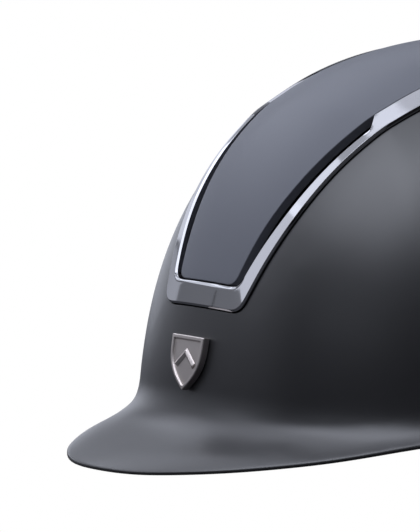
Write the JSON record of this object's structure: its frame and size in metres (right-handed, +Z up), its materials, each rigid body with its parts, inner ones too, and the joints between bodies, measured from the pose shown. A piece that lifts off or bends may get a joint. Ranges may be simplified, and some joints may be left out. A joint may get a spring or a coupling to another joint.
{
  "type": "riding helmet",
  "caption": "Riding helmet: moulded shell with a wide front brim, bright trim frame and slots over the crown, raised crown panel, plain shield badge and foam liner.",
  "frame": {"origin": "middle of the helmet's footprint, on the surface that it rests on", "axes": "+Z up through the crown, -Y towards the front of the brim, X across the head"},
  "size_m": [0.2252, 0.3205, 0.1492],
  "materials": {
    "shell_plastic": "soft matte charcoal lacquer",
    "bright_trim": "smoked bright chrome",
    "badge_metal": "satin pewter",
    "edge_rubber": "dark satin",
    "liner_foam": "moulded black foam"
  },
  "bodies": {
    "root": {"shell": "shell_plastic", "crown_panel": "shell_plastic", "trim_frame": "bright_trim", "badge": "badge_metal", "edge_band": "edge_rubber", "liner_brow_left": "liner_foam", "liner_temple_left": "liner_foam", "liner_side_left": "liner_foam", "liner_nape_left": "liner_foam", "liner_brow_right": "liner_foam", "liner_temple_right": "liner_foam", "liner_side_right": "liner_foam", "liner_nape_right": "liner_foam", "liner_crown": "liner_foam"}
  },
  "joints": []
}
